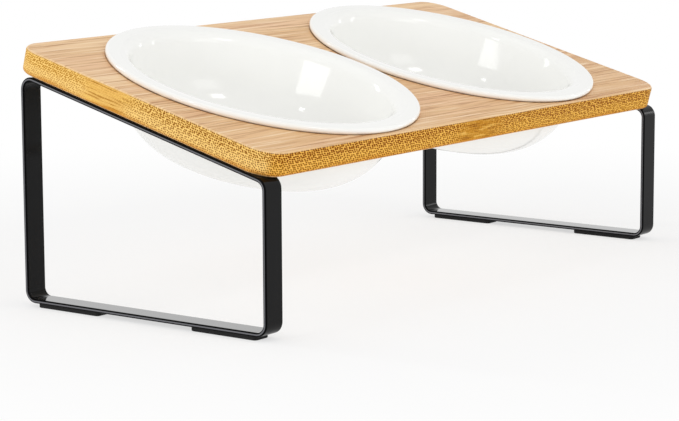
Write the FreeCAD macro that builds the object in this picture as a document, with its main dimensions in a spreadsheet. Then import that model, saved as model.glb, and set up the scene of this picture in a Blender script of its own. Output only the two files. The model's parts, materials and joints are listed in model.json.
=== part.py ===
"""Elevated cat bowl stand: a tilted bamboo board that carries two lift-out bowls on two bent flat-bar frames.

Millimetres, +X to the right, +Y to the rear, +Z up. The origin is on the floor, under the stand's middle.
"""
import FreeCAD
import Part
import Sketcher
import math
import os
from FreeCAD import Base, Placement, Rotation, Vector

# Driving dimensions: lengths in millimetres, board_tilt in degrees.
SIZES = {
    # Bowls, which hang by the lip in round holes. The gap is between the two rims.
    "rim_diameter": 153.5,
    "bowl_gap": 6.0,
    "lip_width": 8.5,
    "lip_thickness": 3.2,
    "brim_width": 4.8,
    "lip_blend": 6.5,
    "neck_round": 0.8,
    "bowl_depth": 42.0,
    "wall_upright": 6.0,
    "wall_slope": 76.0,
    "bowl_wall": 3.6,
    "foot_ring_width": 6.0,
    "foot_recess": 1.2,
    "hole_clearance": 1.2,
    "hole_round": 0.8,
    # Bamboo board, with margins around the rims and the middle of its underside at board_height.
    "end_margin": 13.5,
    "side_margin": 1.75,
    "board_thickness": 12.0,
    "board_corner": 13.0,
    "board_top_round": 1.3,
    "board_bottom_round": 2.0,
    "board_tilt": 15.0,
    "board_height": 92.3,
    # Frames of flat bar, bent to a closed loop, whose top bar lies against the board.
    "bar_width": 12.0,
    "bar_thickness": 2.0,
    "bar_edge_round": 0.7,
    "bend_radius": 6.0,
    "rear_leg_inset": 5.8,
    # Rubber pads under the bottom bars.
    "pad_length": 38.0,
    "pad_margin": 1.0,
    "pad_thickness": 2.0,
    "pad_corner": 2.0,
    "pad_edge_round": 0.5,
    "pad_inset": 7.0,
    # Countersunk wood screws, driven up through the top bars into blind pilot holes, with flush heads.
    "screw_inset": 28.5,
    "screw_diameter": 3.5,
    "screw_tip": 3.0,
    "head_diameter": 6.8,
    "head_clearance": 0.1,
    "recess_span": 3.6,
    "recess_width": 1.0,
    "recess_corner": 0.2,
    "recess_depth": 1.3,
    "bar_hole_clearance": 0.4,
    "pilot_clearance": 0.05,
    "pilot_cover": 3.0,
    "pilot_end_gap": 1.0,
    # Overrun of a cut past the face that it leaves by.
    "cut_overrun": 1.0,
}

# Dimensions that follow from the driving ones. The front legs stand plumb under the board's front edge.
DERIVED = {
    "bowl_pitch": "Sizes.rim_diameter + Sizes.bowl_gap",
    "board_length": "bowl_pitch + Sizes.rim_diameter + 2 * Sizes.end_margin",
    "board_depth": "Sizes.rim_diameter + 2 * Sizes.side_margin",
    "body_radius": "Sizes.rim_diameter / 2 - Sizes.lip_width",
    "hole_radius": "body_radius + Sizes.hole_clearance",
    "hollow_round": "Sizes.bowl_depth - Sizes.wall_upright - 2 * Sizes.bowl_wall",
    "front_leg_reach": "board_depth / 2 * cos(Sizes.board_tilt)",
    "rear_leg_reach": "front_leg_reach - Sizes.rear_leg_inset",
    "bar_middle": "(board_length - Sizes.bar_width) / 2",
    "pad_width": "Sizes.bar_width - 2 * Sizes.pad_margin",
    "screw_reach": "board_depth / 2 - Sizes.screw_inset",
    "pilot_depth": "Sizes.board_thickness - Sizes.pilot_cover",
    "pilot_radius": "Sizes.screw_diameter / 2 + Sizes.pilot_clearance",
    "bar_hole_radius": "Sizes.screw_diameter / 2 + Sizes.bar_hole_clearance",
    "countersink": "Sizes.head_diameter / 2 + Sizes.head_clearance - bar_hole_radius",
    "head_height": "(Sizes.head_diameter - Sizes.screw_diameter) / 2",
    "screw_length": "Sizes.bar_thickness + pilot_depth - Sizes.pilot_end_gap",
}

# Signs of X for the sides and of Y for the ends.
SIDES = {"left": -1, "right": 1}
ENDS = {"rear": 1, "front": -1}

# Expressions for the slope of the board and for the offset that centres the stand in Y.
TILT = "Sizes.board_tilt"
FRONT_REACH = (
    f"((Derived.board_depth / 2 - Sizes.board_top_round) * cos({TILT})"
    f" + (Sizes.board_thickness - Sizes.board_top_round) * sin({TILT}) + Sizes.board_top_round)"
)
REAR_REACH = (
    f"((Derived.board_depth / 2 - Sizes.board_bottom_round) * cos({TILT})"
    f" - Sizes.board_bottom_round * sin({TILT}) + Sizes.board_bottom_round)"
)
MIDDLE_Y = f"({FRONT_REACH} - {REAR_REACH}) / 2"

# Points of a sketch element in the sketcher's own order, and the axes that it numbers down from -1.
POINTS = ("edge", "start", "end", "centre")
AXES = ("x_axis", "y_axis")
ORIGIN = ("x_axis", "start")


def make_sheet(doc, name, cells):
    """Put dimensions into a spreadsheet, one aliased cell each."""
    sheet = doc.addObject("Spreadsheet::Sheet", name)
    for row, (alias, content) in enumerate(cells.items(), start=1):
        sheet.set(f"A{row}", alias)
        sheet.set(f"B{row}", content)
        sheet.setAlias(f"B{row}", alias)
    doc.recompute()


def size(alias):
    """Value of a driving or derived dimension, read from its sheet."""
    doc = FreeCAD.ActiveDocument
    return getattr(doc.Sizes if alias in SIZES else doc.Derived, alias)


def new_body(doc, label):
    """Add an empty body whose label names its node."""
    body = doc.addObject("PartDesign::Body", label)
    body.Label = label
    return body


def new_sketch(body, name, role):
    """Add a sketch on one of the body's own origin planes."""
    sketch = body.newObject("Sketcher::SketchObject", f"{body.Name}_{name}")
    plane = next(feature for feature in body.Origin.OriginFeatures if feature.Role == role)
    sketch.AttachmentSupport = [(plane, "")]
    sketch.MapMode = "FlatFace"
    return sketch


def numbered(references):
    """Replace the names of points and axes by the sketcher's numbers."""
    numbers = []
    for item in references:
        if item in POINTS:
            numbers.append(POINTS.index(item))
        elif item in AXES:
            numbers.append(-1 - AXES.index(item))
        else:
            numbers.append(item)
    return numbers


def relate(sketch, kind, *references):
    """Add a geometric constraint."""
    sketch.addConstraint(Sketcher.Constraint(kind, *numbered(references)))


def drive(sketch, name, kind, references, expression):
    """Add a dimensional constraint and bind it to the spreadsheets."""
    value = sketch.evalExpression(expression)
    if kind == "Angle":
        value = math.radians(value)
    index = sketch.addConstraint(Sketcher.Constraint(kind, *numbered(references), value))
    sketch.renameConstraint(index, name)
    sketch.setExpression(f"Constraints.{name}", expression)


def line(sketch, start, end):
    """Draw a straight edge."""
    return sketch.addGeometry(Part.LineSegment(Vector(*start), Vector(*end)))


def arc(sketch, centre, radius, first_degrees, last_degrees):
    """Draw a circular arc anticlockwise between two angles."""
    whole = Part.Circle(Vector(*centre), Vector(0, 0, 1), radius)
    first, last = math.radians(first_degrees), math.radians(last_degrees)
    return sketch.addGeometry(Part.ArcOfCircle(whole, first, last))


def hole(sketch, name, x, y, radius):
    """Draw a circle whose centre and radius follow three expressions."""
    centre = Vector(sketch.evalExpression(x), sketch.evalExpression(y))
    circle = Part.Circle(centre, Vector(0, 0, 1), sketch.evalExpression(radius))
    index = sketch.addGeometry(circle)
    drive(sketch, f"{name}_x", "DistanceX", (*ORIGIN, index, "centre"), x)
    drive(sketch, f"{name}_y", "DistanceY", (*ORIGIN, index, "centre"), y)
    drive(sketch, f"{name}_radius", "Radius", (index,), radius)


def rounded_loop(sketch, corners, radius):
    """Draw an anticlockwise polygon with rounded corners, where side i leaves corner i.

    Returns the sides and the arcs; arc i rounds the corner at the end of side i.
    """
    points = [Vector(*corner) for corner in corners]
    count = len(points)
    headings = []
    for i in range(count):
        step = points[(i + 1) % count] - points[i]
        headings.append(math.degrees(math.atan2(step.y, step.x)))
    turns = [(headings[(i + 1) % count] - headings[i]) % 360 for i in range(count)]
    trims = [radius * math.tan(math.radians(turn) / 2) for turn in turns]

    sides, arcs = [], []
    for i in range(count):
        along = Rotation(Vector(0, 0, 1), headings[i]).multVec(Vector(1, 0, 0))
        inward = Vector(-along.y, along.x)
        start = points[i] + along * trims[i - 1]
        end = points[(i + 1) % count] - along * trims[i]
        sides.append(line(sketch, start, end))
        arcs.append(arc(sketch, end + inward * radius, radius, headings[i] - 90, headings[i] - 90 + turns[i]))
    for i in range(count):
        relate(sketch, "Tangent", sides[i], "end", arcs[i], "start")
        relate(sketch, "Tangent", arcs[i], "end", sides[(i + 1) % count], "start")
    for other in arcs[1:]:
        relate(sketch, "Equal", arcs[0], other)
    return sides, arcs


def rounded_rectangle(sketch, width, depth, corner):
    """Draw a rounded rectangle about the origin, sized by three expressions."""
    half_width, half_depth = sketch.evalExpression(width) / 2, sketch.evalExpression(depth) / 2
    corners = [
        (-half_width, -half_depth),
        (half_width, -half_depth),
        (half_width, half_depth),
        (-half_width, half_depth),
    ]
    sides, arcs = rounded_loop(sketch, corners, sketch.evalExpression(corner))
    front, right, rear, left = sides
    for side, kind in ((front, "Horizontal"), (right, "Vertical"), (rear, "Horizontal"), (left, "Vertical")):
        relate(sketch, kind, side)
    relate(sketch, "Symmetric", arcs[0], "centre", arcs[2], "centre", *ORIGIN)
    drive(sketch, "corner", "Radius", (arcs[0],), corner)
    drive(sketch, "width", "DistanceX", (left, "start", right, "start"), width)
    drive(sketch, "depth", "DistanceY", (front, "start", rear, "start"), depth)


def pad(body, sketch, length):
    """Extrude a sketch along its normal."""
    feature = body.newObject("PartDesign::Pad", f"{sketch.Name}_pad")
    feature.Profile = sketch
    feature.setExpression("Length", length)
    body.Document.recompute()


def pocket(body, sketch, length, along_normal):
    """Cut a sketch into the body, along its normal or against it, and make sure that it removed something."""
    before = body.Tip.Shape.Volume
    feature = body.newObject("PartDesign::Pocket", f"{sketch.Name}_pocket")
    feature.Profile = sketch
    feature.Reversed = along_normal
    feature.setExpression("Length", length)
    body.Document.recompute()
    if not feature.Shape.Volume < before:
        raise RuntimeError(f"{feature.Name} cut nothing")


def revolve(body, sketch):
    """Turn a profile once around the sketch's vertical axis."""
    feature = body.newObject("PartDesign::Revolution", f"{sketch.Name}_turn")
    feature.Profile = sketch
    feature.ReferenceAxis = (sketch, ["V_Axis"])
    feature.Angle = 360
    body.Document.recompute()


def fillet(body, name, tests, radius):
    """Round those edges of the body's tip that pass any of the tests."""
    base = body.Tip
    feature = body.newObject("PartDesign::Fillet", f"{body.Name}_{name}")
    edges = enumerate(base.Shape.Edges, start=1)
    feature.Base = (base, [f"Edge{i}" for i, edge in edges if any(test(edge) for test in tests)])
    feature.setExpression("Radius", radius)
    body.Document.recompute()


def agree(first, second):
    """Tell whether two lengths are the same to within the kernel's precision."""
    return abs(first - second) < Base.Precision.approximation()


def chamfer(body, name, test, length):
    """Bevel those edges of the body's tip that pass the test, at half a right angle."""
    base = body.Tip
    feature = body.newObject("PartDesign::Chamfer", f"{body.Name}_{name}")
    edges = enumerate(base.Shape.Edges, start=1)
    feature.Base = (base, [f"Edge{i}" for i, edge in edges if test(edge)])
    feature.setExpression("Size", length)
    body.Document.recompute()


def lies_in(axis, level):
    """Make a test for edges that lie in the plane across an axis at a level of the body's own frame."""

    def lies_there(edge):
        low, high = (getattr(edge.BoundBox, f"{axis}{limit}") for limit in ("Min", "Max"))
        return agree(low, level) and agree(high, level)

    return lies_there


def place(body, point, tilted):
    """Bind a body's placement to three expressions, level or with the slope of the board."""
    turn = Rotation(Vector(1, 0, 0), size("board_tilt")) if tilted else Rotation()
    body.Placement = Placement(Vector(), turn)
    for axis, expression in zip("xyz", point):
        body.setExpression(f"Placement.Base.{axis}", expression)
    if tilted:
        body.setExpression("Placement.Rotation.Angle", TILT)


def on_board(across, along, above):
    """Expressions for a point given across the board, along its slope and above its underside."""
    y = f"{MIDDLE_Y} + ({along}) * cos({TILT}) - ({above}) * sin({TILT})"
    z = f"Sizes.board_height + ({along}) * sin({TILT}) + ({above}) * cos({TILT})"
    return across, y, z


def bar_middle(side):
    """Expression for the X of the middle of a frame's bar."""
    return f"{SIDES[side]} * Derived.bar_middle"


def bowl_middle(side):
    """Expression for the X of a bowl's axis."""
    return f"{SIDES[side]} * Derived.bowl_pitch / 2"


def screw_along(end):
    """Expression for the distance of a screw along the slope."""
    return f"{ENDS[end]} * Derived.screw_reach"


def make_board(doc):
    """Bamboo board: rounded slab with eased edges, two bowl holes and four blind pilot holes."""
    body = new_body(doc, "bamboo_board")
    outline = new_sketch(body, "outline", "XY_Plane")
    rounded_rectangle(outline, "Derived.board_length", "Derived.board_depth", "Sizes.board_corner")
    pad(body, outline, "Sizes.board_thickness")
    fillet(body, "top_edge", [lies_in("Z", size("board_thickness"))], "Sizes.board_top_round")
    fillet(body, "bottom_edge", [lies_in("Z", 0)], "Sizes.board_bottom_round")

    openings = new_sketch(body, "openings", "XY_Plane")
    for side in SIDES:
        hole(openings, side, bowl_middle(side), "0", "Derived.hole_radius")
    pocket(body, openings, "Sizes.board_thickness + Sizes.cut_overrun", True)

    def is_opening_edge(edge):
        return isinstance(edge.Curve, Part.Circle) and agree(edge.Curve.Radius, size("hole_radius"))

    fillet(body, "opening_edges", [is_opening_edge], "Sizes.hole_round")

    pilots = new_sketch(body, "pilots", "XY_Plane")
    for side in SIDES:
        for end in ENDS:
            hole(pilots, f"{side}_{end}", bar_middle(side), screw_along(end), "Derived.pilot_radius")
    pocket(body, pilots, "Derived.pilot_depth", True)
    place(body, on_board("0", "0", "0"), True)


def bowl_profile(sketch):
    """Half section of a bowl: foot ring, round outside, steep conical inside and a hanging lip.

    The sketch's horizontal axis is the board's top face.
    """
    outer = size("body_radius")
    lip = size("lip_thickness")
    edge = size("rim_diameter") / 2 - lip / 2
    crown = edge - size("brim_width")
    neck = size("neck_round")
    blend = size("lip_blend")
    upright = size("wall_upright")
    bottom = -size("bowl_depth")
    sweep = size("bowl_depth") - upright
    base = outer - sweep
    foot = base - size("foot_ring_width")
    recess = bottom + size("foot_recess")
    floor = bottom + size("bowl_wall")
    bend = size("hollow_round")
    slope = math.radians(size("wall_slope"))
    wall_top = (crown - blend * math.sin(slope), lip - blend + blend * math.cos(slope))
    wall_foot_y = floor + bend - bend * math.cos(slope)
    wall_foot_x = wall_top[0] - (wall_top[1] - wall_foot_y) / math.tan(slope)
    well_edge = wall_foot_x - bend * math.sin(slope)

    under = line(sketch, (0, recess), (foot, recess))
    step = line(sketch, (foot, recess), (foot, bottom))
    ring = line(sketch, (foot, bottom), (base, bottom))
    belly = arc(sketch, (base, -upright), sweep, -90, 0)
    outside = line(sketch, (outer, -upright), (outer, -neck))
    throat = arc(sketch, (outer + neck, -neck), neck, 90, 180)
    seat = line(sketch, (outer + neck, 0), (edge, 0))
    rim = arc(sketch, (edge, lip / 2), lip / 2, -90, 90)
    brim = line(sketch, (edge, lip), (crown, lip))
    flare = arc(sketch, (crown, lip - blend), blend, 90, 90 + size("wall_slope"))
    inside = line(sketch, (wall_foot_x, wall_foot_y), wall_top)
    hollow = arc(sketch, (well_edge, floor + bend), bend, -90, size("wall_slope") - 90)
    well = line(sketch, (well_edge, floor), (0, floor))
    axis = line(sketch, (0, floor), (0, recess))

    for level in (under, ring, seat, brim, well):
        relate(sketch, "Horizontal", level)
    for upright_line in (step, outside, axis):
        relate(sketch, "Vertical", upright_line)
    for first, second in ((under, step), (step, ring), (well, axis), (axis, under)):
        relate(sketch, "Coincident", first, "end", second, "start")
    for first, first_point, second, second_point in (
        (ring, "end", belly, "start"),
        (belly, "end", outside, "start"),
        (outside, "end", throat, "end"),
        (throat, "start", seat, "start"),
        (seat, "end", rim, "start"),
        (rim, "end", brim, "start"),
        (brim, "end", flare, "start"),
        (flare, "end", inside, "end"),
        (inside, "start", hollow, "end"),
        (hollow, "start", well, "start"),
    ):
        relate(sketch, "Tangent", first, first_point, second, second_point)
    relate(sketch, "PointOnObject", under, "start", "y_axis")
    relate(sketch, "PointOnObject", seat, "start", "x_axis")

    drive(sketch, "depth", "DistanceY", (ring, "start", *ORIGIN), "Sizes.bowl_depth")
    drive(sketch, "recess", "DistanceY", (step, "end", step, "start"), "Sizes.foot_recess")
    drive(sketch, "ring", "DistanceX", (ring, "start", ring, "end"), "Sizes.foot_ring_width")
    drive(sketch, "upright", "DistanceY", (belly, "end", *ORIGIN), "Sizes.wall_upright")
    drive(sketch, "body", "DistanceX", (*ORIGIN, outside, "start"), "Derived.body_radius")
    drive(sketch, "neck", "Radius", (throat,), "Sizes.neck_round")
    drive(sketch, "lip", "DistanceY", (rim, "start", rim, "end"), "Sizes.lip_thickness")
    rim_centre = "(Sizes.rim_diameter - Sizes.lip_thickness) / 2"
    drive(sketch, "reach", "DistanceX", (*ORIGIN, rim, "centre"), rim_centre)
    drive(sketch, "brim", "DistanceX", (brim, "end", brim, "start"), "Sizes.brim_width")
    drive(sketch, "blend", "Radius", (flare,), "Sizes.lip_blend")
    drive(sketch, "slope", "Angle", (inside,), "Sizes.wall_slope")
    drive(sketch, "hollow", "Radius", (hollow,), "Derived.hollow_round")
    drive(sketch, "floor", "DistanceY", (ring, "start", well, "start"), "Sizes.bowl_wall")


def make_bowl(doc, side):
    """Bowl: turned body that hangs by its lip on the board's top face."""
    body = new_body(doc, f"{side}_bowl")
    profile = new_sketch(body, "profile", "XZ_Plane")
    bowl_profile(profile)
    revolve(body, profile)
    place(body, on_board(bowl_middle(side), "0", "Sizes.board_thickness"), True)


def frame_loop(sketch, name, radius, inset, expressions):
    """Side view of one face of the bent bar: the outer face, or the inner one that is inset by the thickness.

    The expressions are those of the bend radius and of the inset.
    """
    slope = math.tan(math.radians(size("board_tilt")))
    drop = inset / math.cos(math.radians(size("board_tilt")))
    bottom = size("pad_thickness") + inset
    rear = size("rear_leg_reach") - inset
    front = size("front_leg_reach") - inset
    rear_top = size("board_height") - drop + slope * rear
    front_top = size("board_height") - drop - slope * front
    corners = [(-front, bottom), (rear, bottom), (rear, rear_top), (-front, front_top)]
    sides, arcs = rounded_loop(sketch, corners, radius)
    floor_bar, rear_leg, top_bar, front_leg = sides
    relate(sketch, "Horizontal", floor_bar)
    relate(sketch, "Vertical", rear_leg)
    relate(sketch, "Vertical", front_leg)

    bend, offset = expressions
    drive(sketch, f"{name}_bend", "Radius", (arcs[0],), bend)
    drive(sketch, f"{name}_tilt", "Angle", (top_bar,), f"{TILT} - 180")
    for part, kind, references, expression in (
        ("bottom", "DistanceY", (*ORIGIN, floor_bar, "start"), f"Sizes.pad_thickness + {offset}"),
        ("rear", "DistanceX", (*ORIGIN, rear_leg, "start"), f"Derived.rear_leg_reach - {offset}"),
        ("front", "DistanceX", (front_leg, "start", *ORIGIN), f"Derived.front_leg_reach - {offset}"),
        ("top", "Distance", (*ORIGIN, top_bar), f"Sizes.board_height * cos({TILT}) - {offset}"),
    ):
        drive(sketch, f"{name}_{part}", kind, references, expression)


def make_frame(doc, side):
    """Frame: flat bar bent to a loop whose sloped top bar has two countersunk screw holes."""
    body = new_body(doc, f"{side}_frame")
    loop = new_sketch(body, "loop", "YZ_Plane")
    outer_radius, thickness = size("bend_radius"), size("bar_thickness")
    frame_loop(loop, "outer", outer_radius, 0, ("Sizes.bend_radius", "0"))
    inner_bend = "Sizes.bend_radius - Sizes.bar_thickness"
    frame_loop(loop, "inner", outer_radius - thickness, thickness, (inner_bend, "Sizes.bar_thickness"))
    pad(body, loop, "Sizes.bar_width")
    fillet(body, "bar_edges", [lies_in("X", 0), lies_in("X", size("bar_width"))], "Sizes.bar_edge_round")

    holes = new_sketch(body, "screw_holes", "XY_Plane")
    slope = Rotation(Vector(1, 0, 0), size("board_tilt"))
    holes.AttachmentOffset = Placement(Vector(0, 0, size("board_height")), slope)
    holes.setExpression("AttachmentOffset.Base.z", "Sizes.board_height")
    holes.setExpression("AttachmentOffset.Rotation.Angle", TILT)
    for end in ENDS:
        hole(holes, end, "Sizes.bar_width / 2", screw_along(end), "Derived.bar_hole_radius")
    pocket(body, holes, "Sizes.bar_thickness + Sizes.cut_overrun", False)

    def is_lower_hole_edge(edge):
        if not isinstance(edge.Curve, Part.Circle) or not agree(edge.Curve.Radius, size("bar_hole_radius")):
            return False
        below = slope.inverted().multVec(Vector(0, 0, size("board_height")) - edge.Curve.Center).z
        return agree(below, thickness)

    chamfer(body, "countersinks", is_lower_hole_edge, "Derived.countersink")
    place(body, (f"{bar_middle(side)} - Sizes.bar_width / 2", MIDDLE_Y, "0"), False)


def make_pad(doc, side, end):
    """Rubber pad: rounded strip with an eased edge where it meets the floor."""
    body = new_body(doc, f"{side}_{end}_pad")
    outline = new_sketch(body, "outline", "XY_Plane")
    rounded_rectangle(outline, "Derived.pad_width", "Sizes.pad_length", "Sizes.pad_corner")
    pad(body, outline, "Sizes.pad_thickness")
    fillet(body, "floor_edge", [lies_in("Z", 0)], "Sizes.pad_edge_round")
    y = f"{MIDDLE_Y} + {ENDS[end]} * (Derived.{end}_leg_reach - Sizes.pad_inset - Sizes.pad_length / 2)"
    place(body, (bar_middle(side), y, "0"), False)


def screw_profile(sketch):
    """Half section of a screw, from the flat of its conical head up to its point."""
    shank = size("screw_diameter") / 2
    head = size("head_diameter") / 2
    length = size("screw_length")
    shoulder = length - size("screw_tip")

    flat = line(sketch, (0, 0), (head, 0))
    cone = line(sketch, (head, 0), (shank, size("head_height")))
    stem = line(sketch, (shank, size("head_height")), (shank, shoulder))
    point = line(sketch, (shank, shoulder), (0, length))
    axis = line(sketch, (0, length), (0, 0))

    relate(sketch, "Horizontal", flat)
    relate(sketch, "Vertical", stem)
    relate(sketch, "Vertical", axis)
    for first, second in ((flat, cone), (cone, stem), (stem, point), (point, axis), (axis, flat)):
        relate(sketch, "Coincident", first, "end", second, "start")
    relate(sketch, "Coincident", flat, "start", *ORIGIN)

    drive(sketch, "head", "DistanceX", (flat, "start", flat, "end"), "Sizes.head_diameter / 2")
    drive(sketch, "height", "DistanceY", (cone, "start", cone, "end"), "Derived.head_height")
    drive(sketch, "shank", "DistanceX", (*ORIGIN, stem, "start"), "Sizes.screw_diameter / 2")
    drive(sketch, "length", "DistanceY", (*ORIGIN, point, "end"), "Derived.screw_length")
    drive(sketch, "tip", "DistanceY", (stem, "end", point, "end"), "Sizes.screw_tip")


def make_screw(doc, side, end):
    """Screw: flush conical head with a cross recess, seated in the top bar, with its shank in the board."""
    body = new_body(doc, f"{side}_{end}_screw")
    profile = new_sketch(body, "profile", "XZ_Plane")
    screw_profile(profile)
    revolve(body, profile)
    span, width = "Sizes.recess_span", "Sizes.recess_width"
    for name, across, along in (("slot", span, width), ("cross", width, span)):
        slot = new_sketch(body, name, "XY_Plane")
        rounded_rectangle(slot, across, along, "Sizes.recess_corner")
        pocket(body, slot, "Sizes.recess_depth", True)
    place(body, on_board(bar_middle(side), screw_along(end), "-Sizes.bar_thickness"), True)


def export_nodes(doc):
    """Stop on any failed object or shape, then write each body to a file named after its label."""
    failed = [item.Name for item in doc.Objects if {"Invalid", "Error"} & set(item.State)]
    bodies = [item for item in doc.Objects if item.isDerivedFrom("PartDesign::Body")]
    failed += [body.Label for body in bodies if body.Shape.isNull() or not body.Shape.isValid()]
    if failed:
        raise RuntimeError("failed: " + ", ".join(failed))
    os.makedirs("parts", exist_ok=True)
    for body in bodies:
        body.Shape.exportStep(f"parts/{body.Label}.step")


def main():
    doc = FreeCAD.newDocument("cat_bowl_stand")
    make_sheet(doc, "Sizes", {alias: str(value) for alias, value in SIZES.items()})
    make_sheet(doc, "Derived", {alias: f"={formula}" for alias, formula in DERIVED.items()})
    make_board(doc)
    for side in SIDES:
        make_bowl(doc, side)
        make_frame(doc, side)
        for end in ENDS:
            make_pad(doc, side, end)
            make_screw(doc, side, end)
    doc.recompute()
    export_nodes(doc)


main()
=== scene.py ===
"""Looks of the elevated cat bowl stand: bamboo, glazed ceramic, coated steel and rubber in soft studio light.

Lengths are in metres in the part's own frame: +X to the right, +Y to the rear, +Z up. The wood's own axes are
tilted with the sloped board. Colours are written in sRGB, from 0 to 255.
"""
import json
import math
from collections import namedtuple

import bpy
from mathutils import Matrix, Vector


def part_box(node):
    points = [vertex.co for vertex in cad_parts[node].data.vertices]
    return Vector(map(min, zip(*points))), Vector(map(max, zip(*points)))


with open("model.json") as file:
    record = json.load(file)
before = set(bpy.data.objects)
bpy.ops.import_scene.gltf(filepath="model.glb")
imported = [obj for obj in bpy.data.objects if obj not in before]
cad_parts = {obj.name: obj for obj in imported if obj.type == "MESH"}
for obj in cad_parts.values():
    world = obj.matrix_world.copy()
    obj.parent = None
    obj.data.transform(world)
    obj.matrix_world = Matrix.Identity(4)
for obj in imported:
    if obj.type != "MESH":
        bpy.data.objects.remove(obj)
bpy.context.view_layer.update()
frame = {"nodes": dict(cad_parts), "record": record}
NODES = frame["nodes"]

MILLIMETRE = 0.001
WHITE = (1.0, 1.0, 1.0, 1.0)

# Slope of the board and the middle of its underside, where the wood's own axes start.
BOARD_TILT = math.radians(15)
BOARD_MIDDLE = (0.0, 1.633 * MILLIMETRE, 92.3 * MILLIMETRE)
BOARD_THICKNESS = 12 * MILLIMETRE

# Bowls: depth of the foot below the board's top face, and height of the bare clay above the foot.
BOWL_DEPTH = 42 * MILLIMETRE
FOOT_GLAZE_LINE = 0.5 * MILLIMETRE

# Bowls' rims: distance of their middles from the middle of the board, and radius.
RIM_LOW, RIM_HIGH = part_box("right_bowl")
RIM_OFFSET = (RIM_LOW[0] + RIM_HIGH[0]) / 2
RIM_RADIUS = (RIM_HIGH[0] - RIM_LOW[0]) / 2

# Camera at the photograph's place, with angles in degrees and the lens and sensor in millimetres.
CAMERA_PLACE = (-1.015505, -0.748746, 0.229418)
CAMERA_YAW = 36.870
CAMERA_PITCH = 8.956
CAMERA_ROLL = -0.261
CAMERA_LENS = 133.08
SENSOR_WIDTH = 36.0

# Studio: pale floor that glows more with distance until it is white, and the ambient light on matt surfaces.
FLOOR_RADIUS = 6.0
FLOOR_SIDES = 96
FLOOR_COLOUR = (0.96, 0.96, 0.96, 1.0)
FLOOR_FADE = (0.2, 0.55)
FLOOR_GLOW = 0.62
AMBIENT = 0.71

# Lamps: direction from the stand as azimuth and elevation in degrees, distance, width, height and power.
LAMP_TARGET = (0.0, 0.0, 0.09)
LAMPS = {
    "overhead": (90, 80, 1.3, 1.0, 0.8, 0.6),
    "left_softbox": (174, 13, 1.0, 0.42, 0.19, 1.25),
    "front_spot": (-93, 37, 1.1, 0.22, 0.15, 1.1),
    "front_band": (-88, 15, 1.1, 0.44, 0.34, 0.9),
    "left_spot": (177, 44, 1.1, 0.05, 0.12, 0.35),
    "right_strip": (-4, 7, 1.2, 0.04, 0.30, 0.16),
    "right_rear_strip": (-26, 9, 1.2, 0.06, 0.36, 0.3),
    "rear_strip": (102, 27, 1.2, 0.12, 0.5, 1.2),
}

# Sockets of Blender's Mix node that hold its two colours and its result.
MIX_COLOURS = (6, 7)
MIX_RESULT = 2

# A noise pattern: its waves per metre along each axis, its detail and its roughness.
Grain = namedtuple("Grain", "waves detail roughness", defaults=(2.0, 0.5))

# A layer of colour: the two levels of a pattern between which it comes in, and its full share.
Layer = namedtuple("Layer", "colour levels share", defaults=(1.0,))

# Levels between which most of a noise pattern lies.
NOISE_LEVELS = (0.2, 0.8)


def even(waves):
    """The same number of waves along each axis."""
    return (waves, waves, waves)


def linear(colour):
    """Linear colour, with alpha, of an sRGB colour, by the sRGB standard."""
    channels = []
    for value in colour:
        share = value / 255
        channels.append(share / 12.92 if share <= 0.04045 else ((share + 0.055) / 1.055) ** 2.4)
    return (*channels, 1.0)


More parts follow.
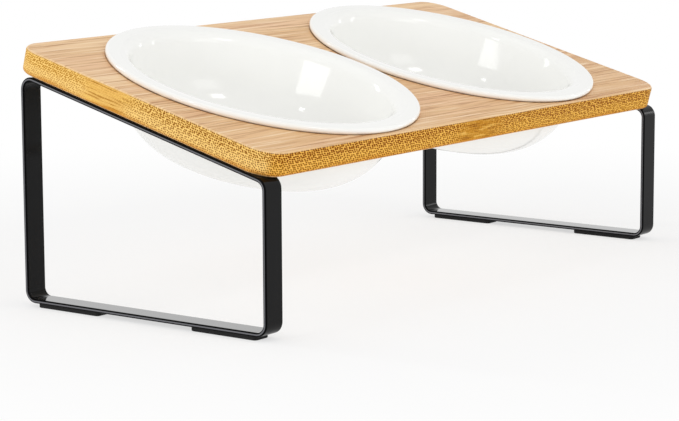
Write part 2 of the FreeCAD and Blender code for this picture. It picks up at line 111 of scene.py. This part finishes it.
class Graph:
    """Short ways to build one material's nodes."""

    def __init__(self, name):
        self.material = bpy.data.materials.new(name)
        self.material.use_nodes = True
        self.tree = self.material.node_tree
        self.tree.nodes.clear()
        self.output = self.node("ShaderNodeOutputMaterial")

    def node(self, kind, **settings):
        made = self.tree.nodes.new(kind)
        for key, value in settings.items():
            setattr(made, key, value)
        return made

    def link(self, source, target):
        self.tree.links.new(source, target)

    def feed(self, socket, value):
        """Link a socket, or set it to a constant."""
        if isinstance(value, bpy.types.NodeSocket):
            self.link(value, socket)
        else:
            socket.default_value = value

    def math(self, operation, *values):
        made = self.node("ShaderNodeMath", operation=operation)
        for socket, value in zip(made.inputs, values):
            self.feed(socket, value)
        return made.outputs[0]

    def times(self, first, second):
        return self.math("MULTIPLY", first, second)

    def amount(self, value):
        """A value without its sign."""
        return self.math("ABSOLUTE", value)

    def ramp(self, value, levels, ends=(0.0, 1.0)):
        """Smooth step from one end to the other as a value goes from the first level to the second."""
        made = self.node("ShaderNodeMapRange", interpolation_type="SMOOTHSTEP")
        for socket, item in zip(made.inputs, (value, *levels, *ends)):
            self.feed(socket, item)
        return made.outputs[0]

    def mix(self, share, first, second):
        """Blend two colours, each a socket or written in sRGB."""
        made = self.node("ShaderNodeMix", data_type="RGBA")
        self.feed(made.inputs["Factor"], share)
        for index, colour in zip(MIX_COLOURS, (first, second)):
            self.feed(made.inputs[index], linear(colour) if isinstance(colour, tuple) else colour)
        return made.outputs[MIX_RESULT]

    def layer(self, colour, pattern, layer, within=1.0):
        """Lay a layer over a colour by a pattern, within a share of the surface."""
        share = self.ramp(pattern, layer.levels, (0.0, layer.share))
        return self.mix(self.times(share, within), colour, layer.colour)

    def grain(self, vector, pattern):
        """Noise pattern, from 0 to 1."""
        scaled = self.node("ShaderNodeMapping")
        self.link(vector, scaled.inputs["Vector"])
        scaled.inputs["Scale"].default_value = pattern.waves
        made = self.node("ShaderNodeTexNoise")
        self.link(scaled.outputs["Vector"], made.inputs["Vector"])
        made.inputs["Scale"].default_value = 1.0
        made.inputs["Detail"].default_value = pattern.detail
        made.inputs["Roughness"].default_value = pattern.roughness
        return made.outputs["Fac"]

    def split(self, vector):
        made = self.node("ShaderNodeSeparateXYZ")
        self.link(vector, made.inputs[0])
        return made.outputs

    def join(self, *axes):
        made = self.node("ShaderNodeCombineXYZ")
        for socket, axis in zip(made.inputs, axes):
            self.link(axis, socket)
        return made.outputs[0]

    def place(self):
        """Point in the object's own frame."""
        return self.node("ShaderNodeTexCoord").outputs["Object"]

    def normal(self):
        """Surface normal in the object's own frame."""
        return self.node("ShaderNodeTexCoord").outputs["Normal"]

    def board_place(self):
        """Point in the wood's own axes."""
        made = self.node("ShaderNodeMapping", vector_type="TEXTURE")
        self.link(self.place(), made.inputs["Vector"])
        made.inputs["Location"].default_value = BOARD_MIDDLE
        made.inputs["Rotation"].default_value = (BOARD_TILT, 0, 0)
        return made.outputs["Vector"]

    def board_normal(self):
        """Surface normal in the wood's own axes."""
        made = self.node("ShaderNodeMapping", vector_type="NORMAL")
        self.link(self.normal(), made.inputs["Vector"])
        made.inputs["Rotation"].default_value = (-BOARD_TILT, 0, 0)
        return made.outputs["Vector"]

    def bump(self, height, strength, distance):
        made = self.node("ShaderNodeBump")
        self.link(height, made.inputs["Height"])
        made.inputs["Strength"].default_value = strength
        made.inputs["Distance"].default_value = distance
        return made.outputs["Normal"]

    def surface(self, **inputs):
        """Finish with one principled shader; a name's underscores stand for spaces."""
        shader = self.node("ShaderNodeBsdfPrincipled")
        for name, value in inputs.items():
            self.feed(shader.inputs[name.replace("_", " ")], value)
        self.link(shader.outputs[0], self.output.inputs["Surface"])
        return self.material


# Glued strips of the board's faces.
STRIP_LENGTH = 310 * MILLIMETRE
STRIP_WIDTH = 19.6 * MILLIMETRE
STRIP_STAGGER_SHARE = 0.37
STRIP_STAGGER_ROWS = 2
STRIP_BIAS = 0.1
STRIP_PALE, STRIP_DEEP = (244, 208, 162), (231, 188, 137)
GLUE_WIDTH = 0.15 * MILLIMETRE
GLUE_SOFTNESS = 0.6
GLUE_COLOUR = (200, 154, 106)

# Grain of the faces, which wanders a little across the board.
WANDER_GRAIN = Grain((16, 50, 1), 1.0)
WANDER = 2 * MILLIMETRE
FIBRE_GRAIN = Grain((18, 880, 200), 3.0, 0.6)
BAND_GRAIN = Grain((7, 210, 60))
BLUSH_GRAIN = Grain((10, 70, 40), 1.0)
BLUSH = Layer((231, 184, 146), (0.4, 0.7), 0.5)
BANDS = Layer((210, 164, 112), (0.4, 0.68), 0.4)
DARK_FIBRES = Layer((182, 128, 84), (0.54, 0.64), 0.8)
PALE_FIBRES = Layer((252, 226, 190), (0.46, 0.34), 0.7)


def glued_strips(graph, local):
    """Colour of the strips that the board is glued from."""
    x, y, _ = graph.split(local)
    strips = graph.node("ShaderNodeTexBrick", offset=STRIP_STAGGER_SHARE, offset_frequency=STRIP_STAGGER_ROWS)
    graph.link(graph.join(x, y), strips.inputs["Vector"])
    for name, value in (
        ("Color1", linear(STRIP_PALE)),
        ("Color2", linear(STRIP_DEEP)),
        ("Mortar", linear(GLUE_COLOUR)),
        ("Scale", 1.0),
        ("Mortar Size", GLUE_WIDTH),
        ("Mortar Smooth", GLUE_SOFTNESS),
        ("Bias", STRIP_BIAS),
        ("Brick Width", STRIP_LENGTH),
        ("Row Height", STRIP_WIDTH),
    ):
        strips.inputs[name].default_value = value
    return strips.outputs["Color"]


def bamboo_face(graph, local):
    """Colour of the sanded faces, glued strips with fine grain lines along the board, and the grain lines."""
    x, y, z = graph.split(local)
    bent = graph.join(x, graph.math("MULTIPLY_ADD", graph.grain(local, WANDER_GRAIN), WANDER, y), z)
    fibre = graph.grain(bent, FIBRE_GRAIN)
    colour = graph.layer(glued_strips(graph, local), graph.grain(bent, BLUSH_GRAIN), BLUSH)
    colour = graph.layer(colour, graph.grain(bent, BAND_GRAIN), BANDS)
    colour = graph.layer(colour, fibre, DARK_FIBRES)
    return graph.layer(colour, fibre, PALE_FIBRES), fibre


# Streaked stretches of the cut edges: middle and half width along X and along Y, and the shares of the half
# width at which the streaks begin and are full. Pairs of colours are for the short ends and the long sides.
STREAK_ZONES = ((-4 * MILLIMETRE, 22 * MILLIMETRE), (19 * MILLIMETRE, 19 * MILLIMETRE))
STREAK_ZONE_SHARES = (1.6, 0.9)
STREAK_ZONE_GRAIN = Grain((60, 60, 160), 1.0)
STREAK_GRAIN = Grain((90, 60, 1000), 2.0, 0.6)
STREAK_LEVELS = (0.5, 0.66)
STREAK_COLOURS = ((188, 132, 50), (150, 92, 18))
GROUND_SHARE = 0.7
GROUND_COLOURS = ((236, 186, 100), (194, 130, 18))
FLECKS = Layer((246, 200, 104), (0.46, 0.34), 0.7)

# Fibre bundles that end in the cut edges: spacing along X, along Y and through the board, shift along the
# edge for each step through the board, randomness, and reach as a share of the spacing, with what the upper
# half adds to it. The core is the darkest share of the reach, and the gaps lie between the bundles.
BUNDLE_STEP = (1.7 * MILLIMETRE, 1.2 * MILLIMETRE, 1.0 * MILLIMETRE)
BUNDLE_SLANT = 0.5
BUNDLE_RANDOMNESS = 0.5
BUNDLE_REACH_SHARE = 0.39
BUNDLE_REACH_UPPER_SHARE = 0.1
BUNDLE_CORE_SHARE = 0.3
BUNDLE_COLOUR = (112, 48, 0)
GAP_LEVELS = (0.35, 0.56)
GAP_SHARE = 0.85
GAP_COLOURS = ((255, 214, 130), (251, 194, 88))

# Places along Y between which the bundles go from faint to strong, their strength at both, and the share of
# them that the streaked stretches take away.
BUNDLE_FADE = (30 * MILLIMETRE, -25 * MILLIMETRE)
BUNDLE_STRENGTH = (0.55, 1.0)
BUNDLE_LOSS_SHARE = 0.8

# Tones of the cut edges: lower and upper half of the short ends and of the long sides, and the lowest part.
EDGE_PATCHES = Grain((40, 40, 110))
UPPER_UNEVEN_SHARE = 0.5
UPPER_LEVELS = (0.6, 0.95)
LOWEST_UNEVEN_SHARE = 0.3
LOWEST = Layer((210, 138, 40), (0.42, 0.2), 0.75)
END_TONES = ((240, 194, 112), (229, 174, 76))
SIDE_TONES = ((204, 144, 40), (180, 112, 12))
SIDE_FACING = (0.6, 0.9)
SIDE_SHARE = 0.9


def streak_zone(graph, local):
    """Share of the streaks that take the place of fibre bundles near the middle of each edge."""
    wander = graph.grain(local, STREAK_ZONE_GRAIN)
    zones = []
    for axis, (middle, half_width) in zip(graph.split(local), STREAK_ZONES):
        offset = graph.amount(graph.math("SUBTRACT", axis, middle))
        offset = graph.math("MULTIPLY_ADD", wander, half_width, offset)
        zones.append(graph.ramp(offset, [half_width * share for share in STREAK_ZONE_SHARES]))
    return graph.math("MAXIMUM", *zones)


def edge_streaks(graph, local, tone, zone, long_side):
    """Lay the ground, the dark streaks and the pale flecks of the streaked stretches over a tone."""
    streak = graph.grain(local, STREAK_GRAIN)
    tone = graph.mix(graph.times(zone, GROUND_SHARE), tone, graph.mix(long_side, *GROUND_COLOURS))
    dark = graph.times(graph.ramp(streak, STREAK_LEVELS), zone)
    tone = graph.mix(dark, tone, graph.mix(long_side, *STREAK_COLOURS))
    return graph.layer(tone, streak, FLECKS, zone)


def bundle_distance(graph, local):
    """Distance to the nearest end of a fibre bundle on a cut edge, in shares of their spacing."""
    x, y, z = (graph.math("DIVIDE", axis, step) for axis, step in zip(graph.split(local), BUNDLE_STEP))
    around = graph.math("SUBTRACT", graph.amount(y), graph.amount(x))
    cells = graph.node("ShaderNodeTexVoronoi", voronoi_dimensions="2D", feature="F1")
    graph.link(graph.join(graph.math("MULTIPLY_ADD", z, BUNDLE_SLANT, around), z), cells.inputs["Vector"])
    cells.inputs["Scale"].default_value = 1.0
    cells.inputs["Randomness"].default_value = BUNDLE_RANDOMNESS
    return cells.outputs["Distance"]


def bamboo_edge(graph, local, along):
    """Colour of the cut edges, darker on the long sides, and the share of the dark ends of the bundles."""
    _, y, z = graph.split(local)
    height = graph.math("DIVIDE", z, BOARD_THICKNESS)
    patch = graph.grain(local, EDGE_PATCHES)
    upper = graph.ramp(graph.math("MULTIPLY_ADD", patch, UPPER_UNEVEN_SHARE, height), UPPER_LEVELS)
    long_side = graph.ramp(graph.amount(along), SIDE_FACING, (0.0, SIDE_SHARE))
    zone = streak_zone(graph, local)
    bundled = graph.math("SUBTRACT", 1.0, graph.times(zone, BUNDLE_LOSS_SHARE))
    distance = bundle_distance(graph, local)

    tone = graph.mix(long_side, graph.mix(upper, *END_TONES), graph.mix(upper, *SIDE_TONES))
    tone = edge_streaks(graph, local, tone, zone, long_side)
    gaps = graph.times(graph.ramp(distance, GAP_LEVELS), bundled)
    tone = graph.mix(graph.times(gaps, GAP_SHARE), tone, graph.mix(long_side, *GAP_COLOURS))
    tone = graph.layer(tone, graph.math("MULTIPLY_ADD", patch, LOWEST_UNEVEN_SHARE, height), LOWEST)

    reach = graph.math("MULTIPLY_ADD", upper, BUNDLE_REACH_UPPER_SHARE, BUNDLE_REACH_SHARE)
    ends = graph.ramp(distance, (reach, graph.times(reach, BUNDLE_CORE_SHARE)))
    strength = graph.ramp(y, BUNDLE_FADE, BUNDLE_STRENGTH)
    ends = graph.times(graph.times(ends, bundled), strength)
    return graph.mix(ends, tone, BUNDLE_COLOUR), ends


# Painted shade where a lip meets the board, a darker ring inwards from the rim that stands for the lip's
# contact shadow: where it starts, is full, begins to fade and ends.
PAINTED_SHADE_RING = (-0.2 * MILLIMETRE, 0.3 * MILLIMETRE, 1.2 * MILLIMETRE, 6.5 * MILLIMETRE)
PAINTED_SHADE_GRAIN = Grain(even(45), 3.0, 0.6)
PAINTED_SHADE_LEVELS = (0.35, 0.6)
PAINTED_SHADE_SHARES = (0.35, 0.75)
PAINTED_SHADE_FACING = (0.8, 0.95)
PAINTED_SHADE_COLOUR = (110, 72, 42)

# Where the faces take over from the cut edges, and the painted highlight on the eased edge between them, by
# how far they face up.
FACE_FACING = (0.45, 0.8)
HIGHLIGHT_START_FACING = (0.3, 0.6)
HIGHLIGHT_END_FACING = (0.995, 0.9)
EDGE_HIGHLIGHT_SHARE = 0.35
EDGE_HIGHLIGHT_COLOUR = (250, 220, 170)

# Finish of the wood: relief as strength and height, and a thin varnish on the faces.
WOOD_ROUGHNESS = (0.42, 0.55)
WOOD_RELIEF = (0.25, 0.2 * MILLIMETRE)
WOOD_SPECULAR = 0.03
VARNISH_WEIGHT = 0.4
VARNISH_ROUGHNESS = 0.45


def painted_seat_shade(graph, local):
    """Share of the painted contact shade around the bowls' lips: sharp at the rim, fading towards the hole.
    """
    x, y, _ = graph.split(local)
    outwards = graph.math("SUBTRACT", graph.amount(x), RIM_OFFSET)
    squares = graph.math("MULTIPLY_ADD", outwards, outwards, graph.times(y, y))
    inwards = graph.math("SUBTRACT", RIM_RADIUS, graph.math("SQRT", squares))
    start, full, fade, end = PAINTED_SHADE_RING
    shade_share = graph.times(graph.ramp(inwards, (start, full)), graph.ramp(inwards, (end, fade)))
    return graph.times(shade_share, graph.ramp(graph.grain(local, PAINTED_SHADE_GRAIN), PAINTED_SHADE_LEVELS, PAINTED_SHADE_SHARES))


def bamboo():
    """Laminated bamboo under a thin satin varnish, with a painted highlight where its upper edge is eased."""
    graph = Graph("bamboo")
    local = graph.board_place()
    _, along, facing = graph.split(graph.board_normal())
    on_face = graph.ramp(graph.amount(facing), FACE_FACING)
    face_colour, fibre = bamboo_face(graph, local)
    edge_colour, ends = bamboo_edge(graph, local, along)
    colour = graph.mix(on_face, edge_colour, face_colour)
    # Pale colour on the eased upper edge: painted highlight.
    eased_highlight = graph.times(graph.ramp(facing, HIGHLIGHT_START_FACING), graph.ramp(facing, HIGHLIGHT_END_FACING))
    colour = graph.mix(graph.times(eased_highlight, EDGE_HIGHLIGHT_SHARE), colour, EDGE_HIGHLIGHT_COLOUR)
    # Darker ring around each bowl's lip on the top face: painted contact shade.
    seat_shade = graph.times(painted_seat_shade(graph, local), graph.ramp(facing, PAINTED_SHADE_FACING))
    height = graph.math("SUBTRACT", graph.times(fibre, on_face), ends)
    return graph.surface(
        Base_Color=graph.mix(seat_shade, colour, PAINTED_SHADE_COLOUR),
        Roughness=graph.ramp(fibre, NOISE_LEVELS, WOOD_ROUGHNESS),
        Normal=graph.bump(height, *WOOD_RELIEF),
        Specular_IOR_Level=WOOD_SPECULAR,
        Coat_Weight=graph.times(on_face, VARNISH_WEIGHT),
        Coat_Roughness=VARNISH_ROUGHNESS,
    )


# Glaze, with faint clouds and ripples, and the bare clay of the foot.
GLAZE_CLOUDS = Grain(even(18))
GLAZE_COLOURS = ((250, 250, 247), (252, 252, 249))
GLAZE_RIPPLE = Grain(even(45))
GLAZE_RELIEF = (0.02, 0.4 * MILLIMETRE)
GLAZE_SPECULAR = 0.32
CLAY_GRAIN = Grain(even(900))
CLAY_COLOURS = ((214, 204, 188), (232, 224, 210))
GLAZE_AND_CLAY_ROUGHNESS = (0.07, 0.75)


def glazed_white():
    """Glossy white glaze with a bare foot ring."""
    graph = Graph("glazed_white")
    place = graph.place()
    height = graph.split(graph.board_place())[2]
    foot = BOARD_THICKNESS - BOWL_DEPTH
    bare = graph.ramp(height, (foot + FOOT_GLAZE_LINE, foot + FOOT_GLAZE_LINE / 2))
    glaze = graph.mix(graph.grain(place, GLAZE_CLOUDS), *GLAZE_COLOURS)
    clay = graph.mix(graph.grain(place, CLAY_GRAIN), *CLAY_COLOURS)
    return graph.surface(
        Base_Color=graph.mix(bare, glaze, clay),
        Roughness=graph.ramp(bare, (0.0, 1.0), GLAZE_AND_CLAY_ROUGHNESS),
        Normal=graph.bump(graph.grain(place, GLAZE_RIPPLE), *GLAZE_RELIEF),
        Specular_IOR_Level=GLAZE_SPECULAR,
    )


# Powder coat of the frames: a painted highlight along the bars' edges, glossier on their faces and most where
# they face up.
COAT_PEEL = Grain(even(1400))
COAT_CLOUDS = Grain(even(60))
COAT_COLOURS = ((5, 5, 6), (11, 11, 12))
COAT_EDGE_HIGHLIGHT = Layer((112, 112, 116), (0.994, 0.9995))
COAT_ROUGHNESS = (0.09, 0.14)
COAT_RELIEF = (0.03, 0.1 * MILLIMETRE)
COAT_SPECULAR = 0.03
GLOSS_UPWARD_FACING = (0.9, 0.99)
GLOSS_SIDEWAYS_FACING = (0.2, 0.02)
GLOSS_FACE_WEIGHT = 0.24
GLOSS_ROUGHNESS = 0.1


def black_coated_steel():
    """Satin black powder coat with its fine orange peel."""
    graph = Graph("black_coated_steel")
    place = graph.place()
    clouds = graph.grain(place, COAT_CLOUDS)
    sideways, _, upward = graph.split(graph.normal())
    side = graph.amount(sideways)
    face_gloss = graph.ramp(side, GLOSS_SIDEWAYS_FACING, (0.0, GLOSS_FACE_WEIGHT))
    return graph.surface(
        # Paler colour where the bars face sideways, along their edges: painted highlight.
        Base_Color=graph.layer(graph.mix(clouds, *COAT_COLOURS), side, COAT_EDGE_HIGHLIGHT),
        Roughness=graph.ramp(clouds, NOISE_LEVELS, COAT_ROUGHNESS),
        Normal=graph.bump(graph.grain(place, COAT_PEEL), *COAT_RELIEF),
        Specular_IOR_Level=COAT_SPECULAR,
        Coat_Weight=graph.math("MAXIMUM", graph.ramp(upward, GLOSS_UPWARD_FACING), face_gloss),
        Coat_Roughness=GLOSS_ROUGHNESS,
    )


# Moulded rubber of the pads.
RUBBER_GRAIN = Grain(even(2200), 3.0)
RUBBER_CLOUDS = Grain(even(120))
RUBBER_COLOURS = ((17, 17, 17), (30, 30, 30))
RUBBER_ROUGHNESS = (0.72, 0.9)
RUBBER_RELIEF = (0.3, 0.1 * MILLIMETRE)
RUBBER_SPECULAR = 0.3


def black_rubber():
    """Matt moulded rubber."""
    graph = Graph("black_rubber")
    place = graph.place()
    grain = graph.grain(place, RUBBER_GRAIN)
    return graph.surface(
        Base_Color=graph.mix(graph.grain(place, RUBBER_CLOUDS), *RUBBER_COLOURS),
        Roughness=graph.ramp(grain, NOISE_LEVELS, RUBBER_ROUGHNESS),
        Normal=graph.bump(grain, *RUBBER_RELIEF),
        Specular_IOR_Level=RUBBER_SPECULAR,
    )


# Black oxide of the screws, paler where it is rubbed.
SCREW_GRAIN = Grain(even(700), 3.0)
SCREW_COLOUR = (34, 34, 35)
SCREW_RUBBED = Layer((84, 84, 86), (0.5, 0.8))
SCREW_METALLIC = 0.6
SCREW_ROUGHNESS = (0.32, 0.5)
SCREW_RELIEF = (0.1, 0.1 * MILLIMETRE)


def black_screw():
    """Black oxide on steel, a little rubbed."""
    graph = Graph("black_screw")
    rub = graph.grain(graph.place(), SCREW_GRAIN)
    return graph.surface(
        Base_Color=graph.layer(SCREW_COLOUR, rub, SCREW_RUBBED),
        Metallic=SCREW_METALLIC,
        Roughness=graph.ramp(rub, NOISE_LEVELS, SCREW_ROUGHNESS),
        Normal=graph.bump(rub, *SCREW_RELIEF),
    )


def dress_nodes():
    """Give each CAD node the material of its slot."""
    makers = (bamboo, glazed_white, black_coated_steel, black_rubber, black_screw)
    materials = {maker.__name__: maker() for maker in makers}
    for part in frame["record"]["subparts"]:
        piece = NODES[part["node"]]
        for slot in piece.material_slots:
            slot.material = materials[part["material_slot"]]


def floor_material():
    """Pale floor near the object, pure white far from it."""
    graph = Graph("studio_floor")
    x, y, _ = graph.split(graph.place())
    distance = graph.math("SQRT", graph.math("ADD", graph.times(x, x), graph.times(y, y)))
    matt = graph.node("ShaderNodeBsdfDiffuse")
    matt.inputs["Color"].default_value = FLOOR_COLOUR
    white = graph.node("ShaderNodeEmission")
    blend = graph.node("ShaderNodeMixShader")
    graph.link(graph.ramp(distance, FLOOR_FADE, (FLOOR_GLOW, 1.0)), blend.inputs[0])
    graph.link(matt.outputs[0], blend.inputs[1])
    graph.link(white.outputs[0], blend.inputs[2])
    graph.link(blend.outputs[0], graph.output.inputs["Surface"])
    return graph.material


def make_floor():
    bpy.ops.mesh.primitive_circle_add(vertices=FLOOR_SIDES, radius=FLOOR_RADIUS, fill_type="NGON")
    floor = bpy.context.object
    floor.name = "studio_floor"
    floor.data.materials.append(floor_material())


def make_world():
    """White to the camera and in reflections, an even pale light on matt surfaces."""
    world = bpy.data.worlds.new("studio")
    bpy.context.scene.world = world
    world.use_nodes = True
    nodes, links = world.node_tree.nodes, world.node_tree.links
    nodes.clear()
    path = nodes.new("ShaderNodeLightPath")
    seen = path.outputs["Is Camera Ray"]
    for name in ("Is Glossy Ray", "Is Transmission Ray"):
        either = nodes.new("ShaderNodeMath")
        either.operation = "MAXIMUM"
        links.new(seen, either.inputs[0])
        links.new(path.outputs[name], either.inputs[1])
        seen = either.outputs[0]
    strength = nodes.new("ShaderNodeMapRange")
    strength.inputs["To Min"].default_value = AMBIENT
    links.new(seen, strength.inputs["Value"])
    background = nodes.new("ShaderNodeBackground")
    background.inputs["Color"].default_value = WHITE
    links.new(strength.outputs["Result"], background.inputs["Strength"])
    output = nodes.new("ShaderNodeOutputWorld")
    links.new(background.outputs[0], output.inputs["Surface"])


def make_lamps():
    """Soft rectangular lamps that face the stand."""
    target = Vector(LAMP_TARGET)
    for name, (azimuth, elevation, distance, width, height, power) in LAMPS.items():
        turn, rise = math.radians(azimuth), math.radians(elevation)
        away = Vector((math.cos(rise) * math.cos(turn), math.cos(rise) * math.sin(turn), math.sin(rise)))
        data = bpy.data.lights.new(name, "AREA")
        data.shape = "RECTANGLE"
        data.size, data.size_y = width, height
        data.energy = power
        lamp = bpy.data.objects.new(name, data)
        lamp.location = target + away * distance
        lamp.rotation_euler = (-away).to_track_quat("-Z", "Y").to_euler()
        bpy.context.scene.collection.objects.link(lamp)


def make_camera():
    """Camera that looks along its yaw and pitch, with a small roll."""
    yaw, pitch, roll = (math.radians(angle) for angle in (CAMERA_YAW, CAMERA_PITCH, CAMERA_ROLL))
    forward = Vector((math.cos(pitch) * math.cos(yaw), math.cos(pitch) * math.sin(yaw), -math.sin(pitch)))
    level = Vector((math.sin(yaw), -math.cos(yaw), 0))
    upright = level.cross(forward)
    right = math.cos(roll) * level + math.sin(roll) * upright
    up = math.cos(roll) * upright - math.sin(roll) * level
    data = bpy.data.cameras.new("camera")
    data.sensor_width = SENSOR_WIDTH
    data.lens = CAMERA_LENS
    camera = bpy.data.objects.new("camera", data)
    turn = Matrix((right, up, -forward)).transposed().to_4x4()
    camera.matrix_world = Matrix.Translation(CAMERA_PLACE) @ turn
    bpy.context.scene.collection.objects.link(camera)
    bpy.context.scene.camera = camera


dress_nodes()
make_floor()
make_world()
make_lamps()
make_camera()
bpy.context.scene.view_settings.view_transform = "Standard"
